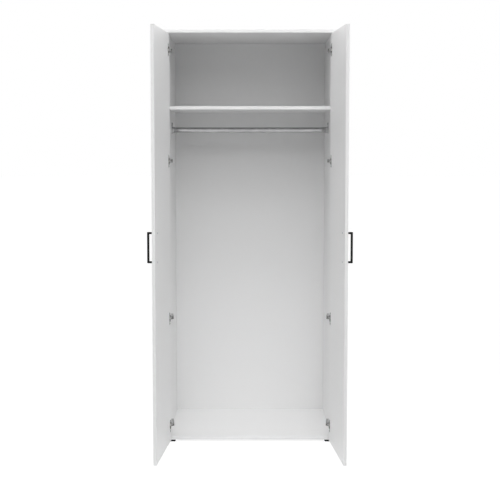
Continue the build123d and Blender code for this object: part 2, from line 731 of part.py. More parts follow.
# Cup pins: two short ones for the outer link and a through pin for the inner link
with BuildPart(door_plane) as left_cup_pins:
    for height in cup_levels:
        along, across = cup_pins["outer"]
        stub_length = cup_pin_half_length(along) - stub_near
        rods([(along, across, height + stub_near)], UP, pin_radius, stub_length, Mode.ADD)
        rods([(along, across, height - stub_near)], DOWN, pin_radius, stub_length, Mode.ADD)
        along, across = cup_pins["inner"]
        half_length = cup_pin_half_length(along)
        rods([(along, across, height - half_length)], UP, pin_radius, 2 * half_length, Mode.ADD)
keep_pair(left_cup_pins, "cup_pins")

# Closing springs: a pair of leaves on each cup's floor, which press on the inner pin
leaf_level = -cavity_depth + spring_thickness / 2
leaf_tip = -inner_cup_pin_depth - pin_radius - spring_thickness / 2
leaf_path = [(cup_edge_distance + spring_reach, leaf_level),
             (inner_cup_pin_edge + spring_rise, leaf_level),
             (inner_cup_pin_edge, leaf_tip)]
with BuildPart(door_plane) as left_cup_springs:
    for height in cup_levels:
        for level in (height + spring_near, height - spring_near - spring_width):
            with BuildSketch(door_plane.offset(level)):
                with BuildLine():
                    Polyline(*leaf_path)
                trace(line_width=spring_thickness)
            extrude(amount=spring_width)
keep_pair(left_cup_springs, "cup_springs")
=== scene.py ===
# %% [markdown]
# # A white wardrobe with its doors open
#
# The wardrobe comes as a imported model: boards, hinges, screws and all, in metres, at its true size.
# This script dresses it. It adds a camera, light and finishes, and it makes finer versions of the
# small turned pieces, such as screws and feet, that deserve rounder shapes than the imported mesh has.
#
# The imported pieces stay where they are. A finer piece takes the place of a packed one by name.

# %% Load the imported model
import json
import bpy
import numpy as np
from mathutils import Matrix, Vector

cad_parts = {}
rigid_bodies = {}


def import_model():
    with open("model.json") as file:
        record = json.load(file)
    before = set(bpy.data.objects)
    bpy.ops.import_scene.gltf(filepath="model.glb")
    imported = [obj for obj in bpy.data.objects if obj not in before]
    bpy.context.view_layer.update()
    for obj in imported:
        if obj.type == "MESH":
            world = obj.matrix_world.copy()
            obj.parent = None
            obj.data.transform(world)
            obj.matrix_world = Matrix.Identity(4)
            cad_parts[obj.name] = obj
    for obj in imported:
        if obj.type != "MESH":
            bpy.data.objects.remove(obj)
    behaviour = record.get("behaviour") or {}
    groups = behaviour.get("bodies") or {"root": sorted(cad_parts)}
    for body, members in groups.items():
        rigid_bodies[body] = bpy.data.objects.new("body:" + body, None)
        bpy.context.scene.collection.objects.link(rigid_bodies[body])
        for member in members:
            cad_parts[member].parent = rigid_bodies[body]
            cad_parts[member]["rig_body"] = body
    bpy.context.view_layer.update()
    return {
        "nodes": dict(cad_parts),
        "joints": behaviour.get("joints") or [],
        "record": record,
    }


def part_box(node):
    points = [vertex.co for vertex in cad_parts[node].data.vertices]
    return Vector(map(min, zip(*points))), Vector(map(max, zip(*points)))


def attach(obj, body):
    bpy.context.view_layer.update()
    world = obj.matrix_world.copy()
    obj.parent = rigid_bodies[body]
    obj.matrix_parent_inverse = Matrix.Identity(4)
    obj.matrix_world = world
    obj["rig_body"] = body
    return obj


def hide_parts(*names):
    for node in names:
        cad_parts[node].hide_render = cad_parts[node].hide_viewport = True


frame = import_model()
nodes = frame["nodes"]
mm = 0.001

# %% [markdown]
# ## Where things are
#
# A few places are used again and again: the front and rear edges of the side panels, the inner face
# of the left one, and the heights of the four hinges on each door. They could be typed in as numbers.
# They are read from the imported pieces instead, so that they follow the model if its sizes change.

# %% Read the main places
side_low, side_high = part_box("left_side_panel")
front, rear = side_low.y, side_high.y
left_inner_face = side_high.x
hinge_rows = ("bottom", "lower", "upper", "top")


def middle(node):
    """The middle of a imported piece's box."""
    low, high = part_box(node)
    return (low + high) / 2


hinge_heights = np.array([middle(f"left_{row}_hinge_plate").z for row in hinge_rows])
print("front", round(front, 4), "rear", round(rear, 4), "hinges at", hinge_heights.round(4))

# %% [markdown]
# ## The camera
#
# In the photograph every upright line is upright and the horizon lies high, so its camera was level
# and its sensor was shifted a long way down. A camera keeps its shift when it moves round an object,
# and a large one would cut the top off the wardrobe there. So most of the shift is left out, and the
# camera is tipped down by four degrees instead. Upright lines then lean by a pixel or two.
#
# The distance follows from how quickly the boards shrink towards the back of the wardrobe.

# %% Place the camera
picture_side = 500.0
focal_pixels = 1028.7
shift_pixels = -30.0
camera_tip = 4.258
camera_distance = 4.824
camera_height = 1.424


def add_object(name, data):
    """A new object in the scene that holds the given camera, lamp or mesh."""
    added = bpy.data.objects.new(name, data)
    bpy.context.scene.collection.objects.link(added)
    return added


camera_data = bpy.data.cameras.new("camera")
camera_data.sensor_width = 36.0
camera_data.lens = camera_data.sensor_width * focal_pixels / picture_side
camera_data.shift_y = shift_pixels / picture_side
camera = add_object("camera", camera_data)
camera.location = (0.0, front - camera_distance, camera_height)
camera.rotation_euler = (np.radians(90.0 - camera_tip), 0.0, 0.0)
bpy.context.scene.camera = camera
bpy.context.scene.view_settings.view_transform = "Standard"
print("lens", round(camera_data.lens, 1), "mm, shift", round(camera_data.shift_y, 3))

# %% [markdown]
# ## Small helpers for node trees
#
# Materials, the world and node groups are all trees of nodes joined by links. Setting up one node by
# hand takes four or five lines. Four helpers make that one line: the first adds a node with its
# values and links, and the others do a sum, make a smooth step and take a vector apart.

# %% Node helpers
def add_node(tree, kind, inputs=None, **settings):
    """Add a node, set its properties, and fill its inputs with values or links."""
    node = tree.nodes.new(kind)
    for name, value in settings.items():
        setattr(node, name, value)
    for key, value in (inputs or {}).items():
        if isinstance(value, bpy.types.NodeSocket):
            tree.links.new(value, node.inputs[key])
        else:
            node.inputs[key].default_value = value
    return node


def calculate(tree, operation, first, second=0.0):
    """The result of one sum, product or comparison of two numbers."""
    return add_node(tree, "ShaderNodeMath", {0: first, 1: second}, operation=operation).outputs[0]


def ramp(tree, value, low, high, bottom=0.0, top=1.0):
    """A smooth step: bottom below low, top above high."""
    inputs = {"Value": value, "From Min": low, "From Max": high, "To Min": bottom, "To Max": top}
    node = add_node(tree, "ShaderNodeMapRange", inputs, interpolation_type="SMOOTHSTEP")
    return node.outputs["Result"]


def split(tree, vector):
    """The X, Y and Z of a vector."""
    return add_node(tree, "ShaderNodeSeparateXYZ", {0: vector}).outputs


print("helpers for nodes: add_node, calculate, ramp, split")

# %% [markdown]
# ## Studio light
#
# The inside of the wardrobe is dark under the top panel and under the shelf, and bright at the
# bottom. Light that comes from in front and from above does this: the boards shade what is right
# under them, and the shade fades lower down. A row of lamps could give such light. Here the sky has
# a soft belt of light in front, and a weaker one behind so that the back can be seen as well. A belt
# fades out at its edges, so the shade has no hard lines.

# %% Belts of light in the sky
belt_edge = 0.12
side_edge = 0.1
belts = {
    "front": dict(low=0.26, high=0.62, side=-1.0, strength=2.0),
    "back": dict(low=-0.10, high=0.45, side=1.0, strength=1.4),
}

world = bpy.data.worlds.new("studio")
bpy.context.scene.world = world
world.use_nodes = True
sky = world.node_tree
sky.nodes.clear()
direction = split(sky, add_node(sky, "ShaderNodeTexCoord").outputs["Generated"])


def belt(low, high, side, strength):
    """Light between two heights of the sky, on the side where Y has the given sign."""
    above = ramp(sky, direction["Z"], low - belt_edge, low + belt_edge)
    below = ramp(sky, direction["Z"], high - belt_edge, high + belt_edge, 1.0, 0.0)
    facing = calculate(sky, "MULTIPLY", direction["Y"], side)
    sideways = ramp(sky, facing, -side_edge, side_edge, 0.0, strength)
    return calculate(sky, "MULTIPLY", calculate(sky, "MULTIPLY", above, below), sideways)


sky_strength = calculate(sky, "ADD", belt(**belts["front"]), belt(**belts["back"]))
print("belts of light:", ", ".join(belts))

# %% [markdown]
# The camera and shiny metal see plain white where the sky is, as in a photographer's white studio.
# White walls could stand round the wardrobe, but they would keep the light of the sky out. So the
# sky has two strengths, and the kind of ray that meets it decides between them.

# %% White for the camera
def grey(level):
    """A grey as the four numbers that a colour socket takes."""
    return (level, level, level, 1.0)


def shown_or_lit(tree, shown, lit):
    """One shader for rays that make the picture, and another for rays that carry soft light."""
    rays = add_node(tree, "ShaderNodeLightPath").outputs
    seen = calculate(tree, "MAXIMUM", rays["Is Camera Ray"], rays["Is Glossy Ray"])
    seen = calculate(tree, "MAXIMUM", seen, rays["Is Transmission Ray"])
    return add_node(tree, "ShaderNodeMixShader", {0: seen, 1: lit, 2: shown}).outputs[0]


def white_sky(strength):
    """White light of the given strength from the sky."""
    return add_node(sky, "ShaderNodeBackground", {"Color": grey(1.0), "Strength": strength}).outputs[0]


whole_sky = shown_or_lit(sky, shown=white_sky(1.0), lit=white_sky(sky_strength))
add_node(sky, "ShaderNodeOutputWorld", {0: whole_sky})
print("the sky has", len(sky.nodes), "nodes")

# %% [markdown]
# Two wide lamps hang in front as well. The nearer one shines straight down past the top panel, and
# lights the bottom panel and the floor before it. The farther one has a grid in front, which keeps
# its light in a narrow cone: it reaches in to the foot of the back, and misses the top panel. A
# brighter sky could not do this, because it lights the top of the wardrobe as much as the bottom.

# %% Two lamps overhead
def overhead_lamp(name, place, tilt, width, depth, power, cone=180.0):
    """A rectangular lamp that shines down, tipped towards the wardrobe by tilt degrees."""
    lamp_data = bpy.data.lights.new(name, "AREA")
    lamp_data.shape = "RECTANGLE"
    lamp_data.size, lamp_data.size_y = width, depth
    lamp_data.energy = power
    lamp_data.spread = np.radians(cone)
    lamp = add_object(name, lamp_data)
    lamp.location = place
    lamp.rotation_euler = (np.radians(tilt), 0.0, 0.0)
    return lamp


lamps = [
    overhead_lamp("near_lamp", (0.0, -0.75, 3.2), tilt=-2.0, width=1.6, depth=0.8, power=20.0),
    overhead_lamp("grid_lamp", (0.0, -2.2, 3.4), tilt=35.0, width=2.0, depth=0.8, power=2.6, cone=40.0),
]
print("lamps:", ", ".join(lamp.name for lamp in lamps))

# %% [markdown]
# ## The floor
#
# The photograph has no floor to see, only white. The floor here is a disc that takes the wardrobe's
# soft shadow. A square plane would do, but a disc looks the same from all sides. It is so wide that
# its rim lies close to the horizon.

# %% Pale floor
floor_radius = 40.0


def full_turn(count):
    """So many angles, evenly spread over a full turn."""
    return np.linspace(0.0, 2 * np.pi, count, endpoint=False)


rim_angles = full_turn(96)
rim = floor_radius * np.stack([np.cos(rim_angles), np.sin(rim_angles), 0 * rim_angles], axis=1)
floor_mesh = bpy.data.meshes.new("floor")
floor_mesh.from_pydata(rim.tolist(), [], [list(range(len(rim)))])
floor = add_object("floor", floor_mesh)
print("floor", floor_radius, "m in radius")

# %% [markdown]
# A shadow catcher could keep the shadow and drop the floor, but its picture has to be laid over white
# afterwards. So for the camera most of the floor's white is its own glow, which runs into the white
# sky, and the rest is light that falls on it, which is where the shadow shows. For soft light the
# floor is a plain pale surface.

# %% Floor finish
floor_bounce = 0.8
floor_shadow_share = 0.3
floor_glow = 0.88

floor_finish = bpy.data.materials.new("floor")
floor_finish.use_nodes = True
floor_tree = floor_finish.node_tree
floor_tree.nodes.clear()


def matt(level):
    """A matt grey surface of the given level."""
    return add_node(floor_tree, "ShaderNodeBsdfDiffuse", {"Color": grey(level)}).outputs[0]


glow = add_node(floor_tree, "ShaderNodeEmission", {"Color": grey(1.0), "Strength": floor_glow}).outputs[0]
glowing = add_node(floor_tree, "ShaderNodeAddShader", {0: matt(floor_shadow_share), 1: glow}).outputs[0]
whole_floor = shown_or_lit(floor_tree, shown=glowing, lit=matt(floor_bounce))
add_node(floor_tree, "ShaderNodeOutputMaterial", {0: whole_floor})
floor_mesh.materials.append(floor_finish)
print("floor finish has", len(floor_tree.nodes), "nodes")

# %% [markdown]
# ## Effects that several finishes share
#
# Foil on boards, powder coat and moulded plastic all have a fine, even grain that breaks up the
# light. A picture of such a surface could be wrapped round each piece. Noise needs no picture, and
# its grains have the same true size on every piece.
#
# Each shared effect is a node group with named inputs and outputs, built once. A finish places the
# group and gives it its own values.

# %% Fine grain group
def new_group(name, inputs, outputs):
    """An empty group that takes a vector and the given inputs, where three numbers make a vector too."""
    group = bpy.data.node_groups.new(name, "ShaderNodeTree")
    group.interface.new_socket("Vector", in_out="INPUT", socket_type="NodeSocketVector")
    for label, default in inputs.items():
        kind = "NodeSocketVector" if isinstance(default, tuple) else "NodeSocketFloat"
        socket = group.interface.new_socket(label, in_out="INPUT", socket_type=kind)
        socket.default_value = default
    for label in outputs:
        group.interface.new_socket(label, in_out="OUTPUT", socket_type="NodeSocketFloat")
    given = group.nodes.new("NodeGroupInput").outputs
    result = group.nodes.new("NodeGroupOutput").inputs
    return group, given, result


def noise(tree, place, scale, detail, roughness=0.5):
    """Cloudy noise between 0 and 1, with about scale clouds in a metre and finer ones within them."""
    inputs = {"Vector": place, "Scale": scale, "Detail": detail, "Roughness": roughness}
    return add_node(tree, "ShaderNodeTexNoise", inputs).outputs["Fac"]


grain, given, result = new_group(
    "Fine grain", {"Grains per metre": 900.0, "Patches per metre": 6.0}, ["Height", "Tone"])
fine = noise(grain, given["Vector"], given["Grains per metre"], detail=2.0, roughness=0.55)
broad = noise(grain, given["Vector"], given["Patches per metre"], detail=3.0)
tone = calculate(grain, "MULTIPLY", calculate(grain, "ADD", fine, broad), 0.5)
grain.links.new(fine, result["Height"])
grain.links.new(tone, result["Tone"])
print("group", grain.name)

# %% [markdown]
# Metal that was drawn or rolled has faint lines along one direction, and its shine varies in soft
# patches. Scratches could be drawn one by one. Here one noise is stretched along an axis, which makes
# lines of its grains, and a coarser one gives the patches. Noise seldom leaves the middle of its
# range, so that middle is stretched to run from 0 to 1.

# %% Metal haze group
noise_span = (0.3, 0.7)


def calculate_vector(tree, operation, first, second):
    """The result of one sum, product or comparison of two vectors, axis by axis."""
    return add_node(tree, "ShaderNodeVectorMath", {0: first, 1: second}, operation=operation).outputs[0]


haze, given, result = new_group(
    "Metal haze", {"Lines per metre": 2500.0, "Stretch": (1.0, 1.0, 1.0), "Patches per metre": 60.0},
    ["Height", "Haze"])
stretched = calculate_vector(haze, "MULTIPLY", given["Vector"], given["Stretch"])
lines = noise(haze, stretched, given["Lines per metre"], detail=1.0)
patches = noise(haze, given["Vector"], given["Patches per metre"], detail=4.0, roughness=0.6)
haze.links.new(lines, result["Height"])
haze.links.new(ramp(haze, patches, *noise_span), result["Haze"])
print("group", haze.name)

# %% [markdown]
# Chipboard is made of wood chips pressed in glue, and each chip has a shade of its own. Chips could
# be scattered as small meshes, far too many for an edge that is hardly seen. A Voronoi texture
# divides space into cells of random colour, so one cell stands for one chip.

# %% Chipboard group
chips, given, result = new_group("Chipboard", {"Chips per metre": 260.0}, ["Height", "Shade"])
cells = {"Vector": given["Vector"], "Scale": given["Chips per metre"]}
flakes = add_node(chips, "ShaderNodeTexVoronoi", cells).outputs
shade = add_node(chips, "ShaderNodeSeparateColor", {0: flakes["Color"]}).outputs[0]
chips.links.new(flakes["Distance"], result["Height"])
chips.links.new(shade, result["Shade"])
print("group", chips.name)

# %% [markdown]
# Where a board's edge shows, a band of plastic a millimetre thick is glued on and trimmed flush, and
# a hairline is left between band and foil. The band could be a strip of its own. As a mask it needs
# no thin pieces: the group measures how far a point is inside a box. Only the sides of the box that
# have a band are given, and the others stay far away.

# %% Edge band group
far_away = 9.0
band_edge, seam_edge = 0.05 * mm, 0.2 * mm
band, given, result = new_group(
    "Edge band", {"Low": (-far_away,) * 3, "High": (far_away,) * 3, "Thickness": 1.0 * mm},
    ["Band", "Seam"])
from_low = calculate_vector(band, "SUBTRACT", given["Vector"], given["Low"])
to_high = calculate_vector(band, "SUBTRACT", given["High"], given["Vector"])
depths = split(band, calculate_vector(band, "MINIMUM", from_low, to_high))
nearest = calculate(band, "MINIMUM", calculate(band, "MINIMUM", depths["X"], depths["Y"]), depths["Z"])
past_band = calculate(band, "SUBTRACT", nearest, given["Thickness"])
from_seam = calculate(band, "ABSOLUTE", past_band)
band.links.new(ramp(band, past_band, -band_edge, band_edge, 1.0, 0.0), result["Band"])
band.links.new(ramp(band, from_seam, band_edge, seam_edge, 1.0, 0.0), result["Seam"])
print("group", band.name)

# %% [markdown]
# ## A finish starts from one shader
#
# Every finish is a Principled shader with its own tree. Numbers that stay the same all over the
# surface go straight onto the shader's sockets. Colour, roughness and bump come from the groups, and
# they are linked last, when a finish has worked them out.

# %% Start and complete a finish
def new_finish(name, **constants):
    """A material with one shader whose plain sockets are set, its tree, and the object's coordinates."""
    material = bpy.data.materials.new(name)
    material.use_nodes = True
    tree = material.node_tree
    shader = tree.nodes["Principled BSDF"]
    for socket, value in constants.items():
        shader.inputs[socket.replace("_", " ")].default_value = value
    return material, tree, add_node(tree, "ShaderNodeTexCoord").outputs["Object"]


def use_group(tree, group, place, **values):
    """Place a group on the given coordinates, with its own values."""
    inputs = {label.replace("_", " "): value for label, value in values.items()}
    return add_node(tree, "ShaderNodeGroup", {"Vector": place, **inputs}, node_tree=group).outputs


def complete_finish(material, colour, roughness, height, depth, strength):
    """Link colour and roughness, and raise the surface by up to depth, in metres, where height is 1."""
    tree = material.node_tree
    shader = tree.nodes["Principled BSDF"]
    bump = add_node(tree, "ShaderNodeBump", {"Height": height, "Strength": strength, "Distance": depth})
    for socket, link in (("Base Color", colour), ("Roughness", roughness), ("Normal", bump.outputs[0])):
        tree.links.new(link, shader.inputs[socket])
    return material


finishes = {}
print(len(finishes), "finishes so far")

# %% [markdown]
# ## White boards
#
# The boards are chipboard with a white foil on both faces and a band along the edges that show. The
# rear edges, which the back panel covers, are left bare. A second material on the rear faces could
# show that. A mask by depth does it in one finish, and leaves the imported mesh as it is.

# %% Bare chips at the rear
chip_dark, chip_light = (0.36, 0.25, 0.15), (0.62, 0.49, 0.33)
chip_roughness = 0.85
bare_from, bare_until = rear - 0.2 * mm, rear - 0.1 * mm


def with_alpha(colour):
    """A colour of three numbers as the four that a socket takes. A link stays as it is."""
    return colour if isinstance(colour, bpy.types.NodeSocket) else (*colour, 1.0)


def blend_colours(tree, share, first, second):
    """The first colour where share is 0 and the second where it is 1."""
    # A Mix node has inputs for every kind of value: colours go into 6 and 7, and come out of output 2
    inputs = {"Factor": share, 6: with_alpha(first), 7: with_alpha(second)}
    return add_node(tree, "ShaderNodeMix", inputs, data_type="RGBA").outputs[2]


def bare_rear_edge(tree, place, colour, roughness, height):
    """The given colour, roughness and height, changed to those of chips where a board ends at the back."""
    wood = use_group(tree, chips, place, Chips_per_metre=300.0)
    bare = ramp(tree, split(tree, place)["Y"], bare_from, bare_until)
    colour = blend_colours(tree, bare, colour, blend_colours(tree, wood["Shade"], chip_dark, chip_light))
    roughness = calculate(tree, "MAXIMUM", roughness, calculate(tree, "MULTIPLY", bare, chip_roughness))
    height = calculate(tree, "ADD", height, calculate(tree, "MULTIPLY", bare, wood["Height"]))
    return colour, roughness, height


print("boards are bare behind", round(bare_until, 4))

# %% [markdown]
# The foil has a pearl grain about a millimetre across, and the band is plain. One finish for all the
# boards would do for the foil. But each board ends elsewhere, so each gets a finish of its own with
# the limits of its bands.

# %% White board finish
white, white_shade = (0.88, 0.88, 0.88), (0.865, 0.866, 0.868)
seam_grey = (0.60, 0.60, 0.60)
foil_roughness = (0.40, 0.48)


def turned_back(tree, place, spot, angle):
    """Coordinates with a spot moved to the origin, and then turned by an angle about the Z axis."""
    moved = add_node(tree, "ShaderNodeMapping", {"Vector": place, "Location": [-value for value in spot]})
    turned = {"Vector": moved.outputs[0], "Rotation": (0.0, 0.0, angle)}
    return add_node(tree, "ShaderNodeMapping", turned).outputs[0]


def white_board(name, low, high, spot=None, angle=0.0):
    """White foil, with bands where low and high say. An open door is turned back about a spot first."""
    material, tree, place = new_finish(name, Specular_IOR_Level=0.45)
    square = place if spot is None else turned_back(tree, place, spot, angle)
    foil = use_group(tree, grain, place, Grains_per_metre=950.0, Patches_per_metre=5.0)
    edge = use_group(tree, band, square, Low=low, High=high)
    pearl = calculate(tree, "MULTIPLY", foil["Height"], calculate(tree, "SUBTRACT", 1.0, edge["Band"]))
    height = calculate(tree, "SUBTRACT", pearl, edge["Seam"])
    colour = blend_colours(tree, foil["Tone"], white_shade, white)
    colour = blend_colours(tree, edge["Seam"], colour, seam_grey)
    roughness = ramp(tree, foil["Tone"], *noise_span, *foil_roughness)
    if spot is None:
        colour, roughness, height = bare_rear_edge(tree, place, colour, roughness, height)
    return complete_finish(material, colour, roughness, height, depth=0.03 * mm, strength=0.35)


for board in ("left_side_panel", "right_side_panel", "bottom_panel", "hat_shelf", "top_panel"):
    board_low, board_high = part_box(board)
    side_reach = board_high.x if board == "top_panel" else far_away
    band_low, band_high = (-side_reach, board_low.y, -far_away), (side_reach, far_away, far_away)
    finishes[board] = white_board(board, band_low, band_high)
print("boards:", ", ".join(finishes))

# %% [markdown]
# The doors have bands on all four edges. They stand open by 95 degrees, so their finish moves the
# corner at the hinges to the origin and turns the door square to the axes before it measures. A strip
# of mesh on each edge would need no such turn, but it would be very thin.

# %% Door finish
door_opening = np.radians(95.0)
door_width = 397.5 * mm
pivot_along, pivot_below = 11.0 * mm, 2.7 * mm
joint_places = {joint["name"]: np.array(joint["pos_m"]) for joint in frame["joints"]}
mirrors = {"left": np.array([1.0, 1.0, 1.0]), "right": np.array([-1.0, 1.0, 1.0])}


def door_directions(side):
    """Along a door from its hinges, and out of its inner face."""
    ahead = np.array([np.cos(door_opening), -np.sin(door_opening), 0.0]) * mirrors[side]
    outwards = np.array([np.sin(door_opening), np.cos(door_opening), 0.0]) * mirrors[side]
    return ahead, outwards


def door_corner(side):
    """The corner of a door's inner face at its hinges, a known way from the pivot in the record."""
    ahead, outwards = door_directions(side)
    return joint_places[f"{side}_door_hinge"] - pivot_along * ahead + pivot_below * outwards


for side in mirrors:
    door_low, door_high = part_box(f"{side}_door")
    band_low, band_high = (0.0, -far_away, door_low.z), (door_width, far_away, door_high.z)
    ahead = door_directions(side)[0]
    spot = (*door_corner(side)[:2], 0.0)
    finishes[f"{side}_door"] = white_board(
        f"{side}_door", band_low, band_high, spot, -np.arctan2(ahead[1], ahead[0]))
    print(side, "door corner", door_corner(side).round(4), "along", ahead.round(4))

# %% [markdown]
# ## The thin back panel
#
# The back is hard fibreboard, lacquered white on the side that shows. Its rear face is bare brown
# fibre with darker specks and the fine mesh mark of the press. Each face could have a material of its
# own. As on the boards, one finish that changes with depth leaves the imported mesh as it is.

# %% Back panel finish
fibre_dark, fibre_light = (0.23, 0.145, 0.08), (0.36, 0.25, 0.15)
speck_brown, speck_span, speck_share = (0.14, 0.085, 0.05), (0.62, 0.72), 0.6
lacquer_roughness, fibre_roughness = 0.42, 0.8
lacquer_edge = 0.1 * mm


def fibreboard(name, white_until):
    """White lacquer in front of white_until on the Y axis, bare brown fibre behind it."""
    material, tree, place = new_finish(name, Specular_IOR_Level=0.4)
    lacquer = use_group(tree, grain, place, Grains_per_metre=700.0, Patches_per_metre=4.0)
    fibre = use_group(tree, grain, place, Grains_per_metre=420.0, Patches_per_metre=14.0)
    speck = ramp(tree, noise(tree, place, 520.0, detail=4.0), *speck_span, 0.0, speck_share)
    brown = blend_colours(tree, fibre["Tone"], fibre_dark, fibre_light)
    brown = blend_colours(tree, speck, brown, speck_brown)
    front_white = blend_colours(tree, lacquer["Tone"], white_shade, white)
    bare = ramp(tree, split(tree, place)["Y"], white_until, white_until + lacquer_edge)
    colour = blend_colours(tree, bare, front_white, brown)
    roughness = ramp(tree, bare, 0.0, 1.0, lacquer_roughness, fibre_roughness)
    press = {"Vector": place, "Scale": 600.0, "Randomness": 0.15}
    mesh_mark = add_node(tree, "ShaderNodeTexVoronoi", press).outputs["Distance"]
    height = calculate(tree, "ADD", lacquer["Height"], calculate(tree, "MULTIPLY", bare, mesh_mark))
    return complete_finish(material, colour, roughness, height, depth=0.05 * mm, strength=0.4)


finishes["back_panel"] = fibreboard("back_panel", white_until=rear + 0.2 * mm)
print("back panel white inside, brown outside")

# %% [markdown]
# ## Metals
#
# The rail is a polished chrome tube, with faint lines along its length from drawing and buffing. The
# hinges are pressed steel with a coat of nickel. Screws, bolts and nails have a coat of zinc, which is
# bluer and duller, and the cams are bare zinc castings. Each metal could have a tree of its own, but
# they differ only in numbers, so one function makes them all from a table.

# %% Metal finishes
def metal(name, dark, light, smooth, dull,
          lines=2500.0, stretch=(1.0, 1.0, 1.0), patches=60.0, depth=0.004 * mm):
    """A metal whose colour and roughness drift between two values, with lines of the given depth."""
    material, tree, place = new_finish(name, Metallic=1.0)
    surface = use_group(
        tree, haze, place, Lines_per_metre=lines, Stretch=stretch, Patches_per_metre=patches)
    colour = blend_colours(tree, surface["Haze"], dark, light)
    roughness = ramp(tree, surface["Haze"], 0.0, 1.0, dull, smooth)
    return complete_finish(material, colour, roughness, surface["Height"], depth, strength=0.3)


metals = {
    "chrome_tube": dict(dark=(0.35, 0.35, 0.355), light=(0.41, 0.41, 0.415), smooth=0.06, dull=0.10,
                        lines=3000.0, stretch=(0.02, 1.0, 1.0), patches=25.0, depth=0.002 * mm),
    "chrome_cast": dict(dark=(0.44, 0.44, 0.445), light=(0.54, 0.54, 0.545), smooth=0.16, dull=0.24),
    "nickel_steel": dict(dark=(0.32, 0.32, 0.315), light=(0.46, 0.46, 0.455), smooth=0.14, dull=0.22,
                         stretch=(1.0, 0.08, 1.0)),
    "spring_steel": dict(dark=(0.32, 0.32, 0.33), light=(0.42, 0.42, 0.43), smooth=0.30, dull=0.42),
    "zinc_plate": dict(dark=(0.50, 0.52, 0.55), light=(0.64, 0.65, 0.67), smooth=0.28, dull=0.40,
                       patches=180.0),
    "zinc_cast": dict(dark=(0.42, 0.42, 0.44), light=(0.55, 0.55, 0.57), smooth=0.38, dull=0.52,
                      lines=900.0, patches=220.0, depth=0.02 * mm),
}
for name, look in metals.items():
    finishes[name] = metal(name, **look)
print("metals:", ", ".join(metals))

# %% [markdown]
# ## Black handles, black feet and beech dowels
#
# The handles have a matt powder coat, which dries with a fine orange-peel skin. The feet are moulded
# in black plastic, a little shinier, with a spark-eroded grain. Both are the fine grain group with
# other numbers. The dowels are plain beech, darker along the grain and with the short flecks that
# beech has. Rings of growth would be the thorough way to make wood, but for a thin dowel the stretched
# lines of the metal group are enough.

# %% Coats, plastic and wood
def black_skin(name, dark, light, smooth, dull, grains, depth):
    """A black coat or moulding with a fine skin of the given grain and depth."""
    material, tree, place = new_finish(name, Specular_IOR_Level=0.18)
    skin = use_group(tree, grain, place, Grains_per_metre=grains, Patches_per_metre=40.0)
    colour = blend_colours(tree, skin["Tone"], dark, light)
    roughness = ramp(tree, skin["Tone"], *noise_span, smooth, dull)
    return complete_finish(material, colour, roughness, skin["Height"], depth, strength=0.5)


def beech(name, dark=(0.50, 0.34, 0.20), light=(0.66, 0.49, 0.31), smooth=0.58, dull=0.7):
    """Pale beech with grain along the dowel's length and darker flecks."""
    material, tree, place = new_finish(name, Specular_IOR_Level=0.3)
    fleck = use_group(
        tree, haze, place, Lines_per_metre=500.0, Stretch=(0.15, 1.0, 0.15), Patches_per_metre=90.0)
    colour = blend_colours(tree, fleck["Haze"], dark, light)
    roughness = ramp(tree, fleck["Haze"], 0.0, 1.0, dull, smooth)
    return complete_finish(material, colour, roughness, fleck["Height"], depth=0.05 * mm, strength=0.5)


finishes["black_metal"] = black_skin(
    "black_metal", dark=(0.004, 0.004, 0.004), light=(0.009, 0.009, 0.009), smooth=0.52, dull=0.62,
    grains=1600.0, depth=0.03 * mm)
finishes["black_plastic"] = black_skin(
    "black_plastic", dark=(0.002, 0.002, 0.002), light=(0.005, 0.005, 0.005), smooth=0.48, dull=0.60,
    grains=2200.0, depth=0.04 * mm)
finishes["beech"] = beech("beech")
print(len(finishes), "finishes")

# %% [markdown]
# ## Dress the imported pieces
#
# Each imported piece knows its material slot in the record. Boards have a finish under their own name,
# and all the other pieces one under the name of their slot. Sixty pieces could be dressed by hand,
# but a loop forgets none.

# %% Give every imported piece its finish
slot_of = {row["node"]: row["material_slot"] for row in frame["record"]["subparts"]}


def finish_for(node):
    """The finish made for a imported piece, or else the one made for its slot."""
    return finishes.get(node) or finishes[slot_of[node]]


for node, piece in nodes.items():
    piece.data.materials.clear()
    piece.data.materials.append(finish_for(node))
print("finishes on", len(nodes), "pieces")

# %% [markdown]
# ## Turned pieces
#
# Screws, nails, feet and the rail are all turned: an outline spun about an axis. Blender's Screw
# modifier could spin a drawn outline. Here the outline is an array of radii and heights, and
# spinning it is one product of arrays, so that a thread or a cross recess is only a change of radius
# or height that depends on the angle as well.
#
# A turned piece is made once, along the Z axis, and then copied to all its places in one step.

# %% Spin an outline and copy it
upright_limit = 0.9


def spin(radii, heights, angles):
    """Points (r cos a, r sin a, z) for every step of an outline and every angle a."""
    points = np.broadcast_arrays(radii * np.cos(angles), radii * np.sin(angles), heights)
    return np.stack(points, axis=-1)


def copy_to(points, places, outwards):
    """Copies at each place: x times a side direction, y times axis cross side, z times the axis."""
    axis = np.broadcast_to(np.asarray(outwards, float), np.shape(places))
    upright = np.abs(axis[:, 2:]) > upright_limit
    side = np.where(upright, (1.0, 0.0, 0.0), (0.0, 0.0, 1.0))
    turned = np.stack([side, np.cross(axis, side), axis], axis=-1)
    return np.einsum("rck,nik->nrci", points, turned) + np.asarray(places)[:, None, None, :]


